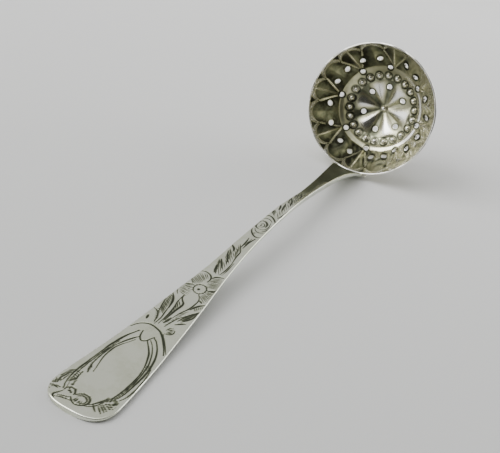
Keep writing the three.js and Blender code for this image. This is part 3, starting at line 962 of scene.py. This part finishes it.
def engrave_ribbon():
    """Combs of feather strokes and the ribbon bow at the handle's end."""
    hatch(0.24, 0.09, 13, [(4.1, 7.5), (6.5, 7.3), (9.4, 6.9)],
          [(5.0, 6.3), (7.2, 6.0), (10.3, 6.0)])
    hatch(0.26, 0.11, 8, [(4.4, -4.1), (6.2, -4.6), (8.2, -5.4)],
          [(3.0, -5.7), (5.0, -6.7), (7.7, -7.2)])
    stroke(0.36, 0.14, (0.9, 4.2), (1.2, 4.8), (2.0, 4.9), (2.9, 4.4), (3.7, 4.1))
    stroke(0.3, 0.12, (2.6, 6.6), (2.8, 7.2), (3.3, 7.3), (3.8, 6.6), (4.0, 5.6), (4.3, 4.6))
    stroke(0.24, 0.1, (3.2, 6.6), (3.5, 6.3), (3.6, 5.4))
    stroke(0.3, 0.12, (1.2, 4.6), (1.8, 3.4), (2.1, 2.2), (2.3, 1.2))
    stroke(0.24, 0.1, (2.0, 4.2), (2.4, 3.2), (2.8, 2.2), (3.2, 1.7))
    stroke(0.4, 0.15, (4.0, 4.1), (4.9, 4.0), (5.5, 3.2), (5.4, 2.3), (4.7, 1.8), (4.1, 1.7))
    stroke(0.3, 0.12, (4.9, 3.4), (4.5, 2.9), (4.2, 2.4), (4.4, 3.3))
    stroke(0.4, 0.15, (3.0, 1.6), (2.3, 0.9), (2.0, 0), (2.2, -0.9), (2.9, -1.7), (3.9, -2.1),
           (5.0, -1.7), (5.6, -0.6), (5.2, 0.6), (4.3, 1.4))
    stroke(0.3, 0.12, (4.2, 0.9), (4.8, 0.1), (4.8, -0.8), (4.2, -1.5), (3.3, -1.4), (2.7, -0.7))
    hatch(0.2, 0.08, 6, [(2.6, 0.9), (2.6, -0.9)], [(3.6, 0.6), (3.4, -0.8)])
    stroke(0.36, 0.12, (3.2, -1.9), (4.2, -2.8), (5.6, -3.6), (7.2, -4.3), (8.4, -5.2))
    stroke(0.26, 0.1, (2.5, -1.5), (3.3, -2.8), (4.6, -3.8), (6.2, -4.3))
    stroke(0.3, 0.12, (2.8, -4.5), (3.6, -3.6), (4.2, -2.9))


def engrave_border():
    """The reeded border of the bare oval, its clasp and the arc round it."""
    stroke(0.36, 0.14, (4.4, 4.5), (6, 5.2), (8, 5.6), (10, 5.8), (13, 5.75), (16, 5.65), (19, 5.5))
    stroke(0.46, 0.15, (18.5, 5.5), (21, 5.4), (23, 5.1), (25, 4.75), (27, 4.2), (28.4, 3.6),
           (29.6, 3.1))
    stroke(0.24, 0.1, (5.0, 4.1), (7, 4.8), (9, 5.15), (12, 5.3), (16, 5.25), (20, 5.05), (24, 4.5))
    stroke(0.3, 0.12, (11.2, 3.7), (13, 4.3), (15, 4.7), (18, 4.8), (21, 4.65), (23.5, 4.1))
    stroke(0.42, 0.14, (23, 4.2), (25.2, 3.4), (27, 2.5), (27.9, 1.9))
    stroke(0.28, 0.11, (12.2, 2.9), (14, 3.3), (16, 3.8), (18, 4.15), (21, 4.15), (23, 3.65),
           (25, 2.7), (26.4, 2.1))
    stroke(0.3, 0.12, (6.2, 3.5), (7.5, 4.0), (9, 4.35), (10.8, 4.5))
    hatch(0.2, 0.08, 7, [(6.2, 3.6), (10, 4.6)], [(6.6, 5.0), (10.2, 5.5)])
    hatch(0.2, 0.08, 5, [(11.3, 3.6), (13, 3.9)], [(12.4, 4.4), (14.4, 4.9)])
    stroke(0.36, 0.15, (30, 2.45), (28.8, 2.2), (27.8, 1.8), (27.1, 1.1), (27.2, 0.5), (27.8, -0.1),
           (28.6, -0.4), (29.6, -0.8))
    stroke(0.36, 0.13, (27.6, -0.3), (26, -1.7), (24.5, -2.8), (23, -3.5), (21.5, -4.1),
           (19.8, -4.6))
    stroke(0.34, 0.12, (21, -4.3), (18, -5.0), (15, -5.3), (11, -5.3), (8, -4.9), (6.4, -4.3),
           (5.2, -3.6))
    stroke(0.28, 0.11, (28.3, -0.7), (27, -2.0), (25, -3.3), (23, -4.2), (21, -4.9), (18, -5.4),
           (15, -5.65), (11, -5.7), (8.6, -5.4))
    stroke(0.4, 0.14, (29.4, -0.9), (28.6, -2.0), (27, -3.3), (25, -4.4), (23, -5.1), (20, -5.75),
           (17, -6.05), (12, -6.1), (9.5, -5.9), (8.2, -5.5))
    stroke(0.34, 0.13, (20.5, -6.0), (18, -6.6), (15, -7.0), (12, -7.1), (10, -6.9), (8.4, -6.4))
    hatch(0.2, 0.08, 6, [(19, -4.8), (20.8, -4.5)], [(19.2, -5.4), (21.4, -5.3)])
    stroke(0.42, 0.15, (29.6, 5.5), (31, 4.8), (31.9, 4.0), (32.6, 2.8), (32.7, 1.6), (32.4, 0.3),
           (31.9, -0.9), (30.6, -2.3), (29, -3.6), (27.5, -4.7), (26, -5.6))
    stroke(0.26, 0.1, (31.6, -1.8), (30.2, -3.0), (28.6, -4.3), (26.6, -5.8))


def engrave_leaves():
    """The spray of leaves above the oval."""
    stroke(0.5, 0.12, (33.8, 4.2), (35.1, 4.5))
    stroke(0.34, 0.12, (34, 2.2), (36, 2.7), (37.3, 3.5), (37.9, 4.8))
    hatch(0.2, 0.08, 7, [(34.5, 2.5), (37.6, 4.2)], [(35.6, 2.2), (39, 3.4)])
    stroke(0.3, 0.11, (33.5, 1.8), (36, 1.7), (38, 2.0), (40.5, 2.3))
    stroke(0.5, 0.13, (40, 2.2), (42.3, 2.7), (43.8, 3.4), (44.9, 4.3))
    stroke(0.26, 0.1, (36.5, 3.0), (39.5, 3.9), (42.5, 4.6))
    hatch(0.22, 0.08, 12, [(37.5, 2.3), (40, 2.6), (43.6, 3.4)],
          [(39, 3.7), (41, 4.2), (44.2, 4.7)])
    stroke(0.3, 0.1, (34, 1.1), (38, 1.05), (41, 1.3), (43, 1.7), (45.6, 1.8))
    stroke(0.46, 0.13, (36, 0.6), (40, 0.4), (42.2, 0.1), (43.3, 0.3), (43.9, 0.9), (44.7, 1.5),
           (45.8, 1.7))
    hatch(0.2, 0.08, 9, [(35, 0.7), (42, 0.4)], [(37.5, 1.0), (43.4, 1.6)])
    stroke(0.6, 0.13, (35.0, 0.25), (36, 0), (37.4, -0.25))
    stroke(0.34, 0.1, (37.4, -0.4), (40, -1.0), (42.3, -1.8), (44.5, -2.1), (46.5, -2.0),
           (48.2, -0.9))
    stroke(0.3, 0.1, (34.0, -0.6), (36, -1.0), (38, -1.6), (40, -2.6))
    hatch(0.2, 0.08, 7, [(34.6, -0.4), (39.6, -1.1)], [(35.6, -1.1), (41.4, -2.2)])
    stroke(0.5, 0.12, (36.0, -2.2), (37, -3.2), (37.6, -3.9))
    stroke(0.4, 0.12, (37.3, -2.0), (39, -2.5), (41, -3.3), (42.7, -4.3))
    stroke(0.36, 0.12, (37.4, -2.8), (39, -3.8), (40.4, -4.3), (42.8, -4.3))
    hatch(0.3, 0.1, 9, [(37.8, -2.4), (41.6, -3.6)], [(38.6, -3.6), (42.4, -4.4)])
    stroke(0.5, 0.13, (42.4, -2.2), (44, -2.8), (45, -3.4), (45.8, -4.2))
    hatch(0.2, 0.08, 5, [(43.2, -2.8), (45, -3.8)], [(42.6, -3.4), (44.4, -4.2)])
    stroke(0.3, 0.1, (32.0, -2.0), (32.4, -3.0), (33.2, -3.5), (34.2, -3.3))
    stroke(0.26, 0.09, (33.2, -1.6), (34.2, -2.0), (34.6, -2.8))
    hatch(0.22, 0.08, 4, [(32.4, -2.2), (33.6, -2.0)], [(33.0, -3.2), (34.2, -3.0)])


def engrave_flower():
    """The open flower with its dotted eye."""
    stroke(0.6, 0.13, (49.5, 0.1), (50.0, 0.1))
    ring = [(EYE_MIDDLE[0] + EYE_REACH[0] * math.cos(angle),
             EYE_MIDDLE[1] + EYE_REACH[1] * math.sin(angle))
            for angle in np.linspace(0, 2 * math.pi, EYE_DOTS + 1)]
    for start, end in zip(ring[:-1], ring[1:]):
        stop = tuple(a * (1 - EYE_DOT_SHARE) + b * EYE_DOT_SHARE for a, b in zip(start, end))
        stroke(0.4, 0.13, start, stop)
    stroke(0.4, 0.12, (49.4, 3.9), (50.2, 2.9), (50.5, 1.9))
    hatch(0.2, 0.08, 9, [(45.9, 1.3), (48.6, 1.2), (50.1, 1.9)],
          [(46.4, 3.4), (47.9, 4.0), (49.5, 3.5)])
    stroke(0.26, 0.09, (45.4, 3.3), (46.4, 4.0), (48, 4.3), (49.2, 4.0))
    stroke(0.4, 0.12, (55.9, 3.4), (56.4, 2.3), (56.2, 1.0), (55.5, 0.1), (54.5, -0.3),
           (53.3, -0.2))
    hatch(0.2, 0.08, 10, [(51.0, 1.9), (52.0, 1.1), (54.6, 0.4)],
          [(51.9, 3.7), (54.2, 3.5), (55.9, 1.6)])
    stroke(0.26, 0.09, (50.8, 2.4), (52.2, 3.6), (54, 3.8), (55.6, 3.3))
    stroke(0.5, 0.13, (55.2, -0.4), (56.1, -1.0), (56.6, -1.8), (56.9, -2.6))
    hatch(0.2, 0.08, 9, [(51.6, -1.0), (53.2, -0.6), (55.0, -0.7)],
          [(52.4, -3.3), (54.2, -3.2), (56.2, -2.6)])
    stroke(0.5, 0.13, (50.6, -2.0), (51.0, -2.8), (51.3, -3.4), (52.2, -3.7))
    hatch(0.2, 0.08, 9, [(47.8, -1.4), (49.0, -1.9), (50.4, -2.1)],
          [(46.4, -3.4), (48.4, -4.0), (50.8, -3.7)])
    stroke(0.45, 0.12, (46.4, -2.3), (45.9, -3.1))


def engrave_sprays():
    """Small leaves on a stem, on both sides of the rosette."""
    hatch(0.22, 0.08, 7, [(57.2, -0.2), (59.2, 0.5)], [(58.2, 1.0), (60.6, 1.6)])
    stroke(0.36, 0.09, (57.5, 0.5), (59.5, 1.2))
    stroke(0.5, 0.12, (60, -0.3), (61.2, 0.5), (62.9, 1.6))
    hatch(0.2, 0.08, 5, [(59.6, 0.4), (61.6, 1.2)], [(60.6, 1.5), (62.6, 2.1)])
    stroke(0.36, 0.1, (62, -0.3), (64, 0.4), (65.2, 1.2), (66.8, 1.9))
    hatch(0.2, 0.08, 7, [(62.8, -0.4), (66, 0.4)], [(64.4, 1.4), (67.8, 1.9)])
    stroke(0.5, 0.13, (67.5, 0.8), (68.5, 1.2), (69.5, 2.3))
    hatch(0.18, 0.07, 13, [(57.4, -0.9), (63, -0.9), (69.5, -0.2)],
          [(59.6, 0.5), (65, 0.8), (71, 0.8)])
    stroke(0.34, 0.12, (57.5, -1.2), (60, -1.5), (63, -1.45))
    stroke(0.24, 0.1, (57.6, -1.7), (60, -1.9), (63.5, -1.8))
    stroke(0.34, 0.1, (63, -1.4), (66, -1.0), (68, -0.9), (69.5, -0.2))
    hatch(0.2, 0.08, 5, [(65.5, -0.9), (69, -0.4)], [(67.2, 0.1), (70.4, 0.5)])
    stroke(0.4, 0.12, (70, 0.0), (72.5, 0.05), (74.7, 0.3))
    stroke(0.4, 0.12, (70, -0.6), (73, -0.7), (75.4, -1.2))
    stroke(0.2, 0.08, (71.5, -0.3), (74.9, -0.5))
    hatch(0.18, 0.07, 11, [(89, -1.0), (96, -0.9), (103, -0.8)], [(91, 0.2), (98, 0.4), (105, 0.5)])
    stroke(0.4, 0.1, (88.5, -1.2), (90, -1.5), (92, -1.7), (94, -1.6))
    hatch(0.2, 0.08, 4, [(89, 0.2), (91, 0.6)], [(90.4, 1.3), (92.2, 1.7)])
    stroke(0.34, 0.08, (89.8, 1.2), (91.7, 1.6))
    stroke(0.5, 0.12, (92.8, 0.6), (94.5, 1.0), (95.7, 1.45))
    hatch(0.2, 0.08, 6, [(92.4, -0.4), (96, 0)], [(94.6, 0.5), (98, 1.1)])
    stroke(0.45, 0.12, (97.4, -0.7), (99, -0.3), (100.5, 0.1), (101.5, 0.7), (102.6, 1.2))
    hatch(0.2, 0.08, 5, [(98.4, 0.2), (101, 0.9)], [(99.4, 1.0), (102, 1.5)])
    stroke(0.4, 0.12, (104, -0.6), (106, -0.3), (107.5, 0.3))
    stroke(0.3, 0.1, (103.8, 0.8), (105.5, 1.2), (106.8, 1.4))
    stroke(0.2, 0.08, (103.6, 0.1), (105.6, 0.5), (107.2, 0.9))


def engrave_rosette():
    """The small rosette between its two brackets, near the neck."""
    stroke(0.42, 0.14, (79.4, 1.9), (78, 1.3), (77, 0.4), (76.4, -0.5), (76.5, -1.3), (77, -2.1))
    stroke(0.34, 0.12, (77.6, 0.5), (78.0, 0.1))
    stroke(0.24, 0.09, (79.9, 1.3), (78.9, 0.6), (78.6, -0.4), (79.2, -1.5))
    stroke(0.66, 0.13, (82.1, 0.7), (82.5, 0.7))
    stroke(0.45, 0.13, (80.3, 0.5), (80.7, 1.4), (81.8, 1.85), (83.0, 1.9), (84.1, 1.6))
    stroke(0.55, 0.13, (84.5, 1.3), (84.6, 0.5), (84.0, -0.2), (83.3, -0.6), (82.2, -0.7))
    stroke(0.26, 0.1, (81.2, 0.9), (81.6, 0.1), (82.5, -0.2), (83.3, 0.3), (83.1, 1.2))
    stroke(0.24, 0.1, (80.3, 0), (80.7, -0.8), (81.6, -1.3), (83.2, -1.3), (84.8, -0.9))
    stroke(0.34, 0.1, (79.6, -1.0), (81, -1.7), (83, -1.9), (85.5, -1.95))
    stroke(0.26, 0.1, (85.6, 1.8), (86.4, 1.0), (86.3, 0), (85.5, -0.9))
    stroke(0.42, 0.14, (87.3, 1.9), (88.1, 1.3), (88.0, 0.3), (87.2, -0.7), (86.0, -1.7),
           (85.2, -2.0))


def draw_engraving():
    engrave_ribbon()
    engrave_border()
    engrave_leaves()
    engrave_flower()
    engrave_sprays()
    engrave_rosette()


def engraved_depth(s, t):
    """Depth of the cut lines and how dark they are, at places on the top of the handle."""
    depth = np.zeros_like(s)
    dark = np.zeros_like(s)
    for width, cut_depth, points in STROKES:
        line = smooth_line(points)
        near = np.nonzero((s > line[:, 0].min() - width) & (s < line[:, 0].max() + width)
                          & (t > line[:, 1].min() - width) & (t < line[:, 1].max() + width))[0]
        if len(near) == 0:
            continue
        away = np.sqrt((s[near, None] - line[None, :, 0]) ** 2
                       + (t[near, None] - line[None, :, 1]) ** 2)
        along = np.linspace(0, 1, len(line))
        along = np.clip(along, STROKE_POINT_SHARE, 1 - STROKE_POINT_SHARE)
        taper = STROKE_END_SHARE + (1 - STROKE_END_SHARE) * np.sin(np.pi * along)
        fill = np.clip((1 - away / (width * STROKE_SHARE * taper)).max(1), 0, 1)
        depth[near] = np.maximum(depth[near], cut_depth * fill)
        dark[near] = np.maximum(dark[near], np.clip(fill * STROKE_BLACKNESS, 0, 1))
    return depth, dark


def engraved_handle():
    rows = handle_rows()
    last = {key: value[-1] for key, value in rows.items()}
    tail = drop_rows(last)
    rows = {key: np.concatenate([rows[key], tail[key]]) for key in rows}
    x, y, z = loft(rows)
    draw_engraving()
    top = slice(CHAMFER_COLUMNS, CHAMFER_COLUMNS + TOP_COLUMNS + 1)
    s = (x - END_X)[:, top]
    t = y[:, top]
    depth, dark = engraved_depth(s.ravel(), t.ravel())
    z[:, top] -= depth.reshape(s.shape)
    z = np.maximum(z, 0)
    levels = np.zeros(y.shape)
    # Painted shade darkens the neck's top and far side, but not its near edge
    neck = np.clip((s - NECK_SHADE_START) / NECK_SHADE_SPREAD, 0, 1)
    light_end = np.clip(s - NECK_LIGHT_END, 0, NECK_LIGHT_FADE)
    shaded_part = np.clip(t + NECK_LIGHT_EDGE + light_end, 0, 1)
    levels[:, top] = np.maximum(ENGRAVED_TARNISH * dark.reshape(s.shape),
                                NECK_PAINTED_SHADE * neck * shaded_part)
    handle = skin("engraved_handle", x, y, z)
    mark(handle, levels.ravel())
    cut(handle, bowl_space(), "DIFFERENCE")
    clean(handle)
    coat(handle, silver("handle_silver", HANDLE_SHADES, roughness=0.22, scratch_strength=0.5,
                        tarnish_and_shade="tarnish_and_shade"))
    only(handle)
    bpy.ops.object.shade_smooth_by_angle(angle=HANDLE_CREASE)
    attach(handle, "root")
    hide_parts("handle")


# The scene

place_camera()
lay_floor()
light_studio()
pierced_bowl()
engraved_handle()
coat(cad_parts["solder_seam"],
     silver("solder_metal", SOLDER_SHADES, roughness=0.3, scratch_strength=0.5))
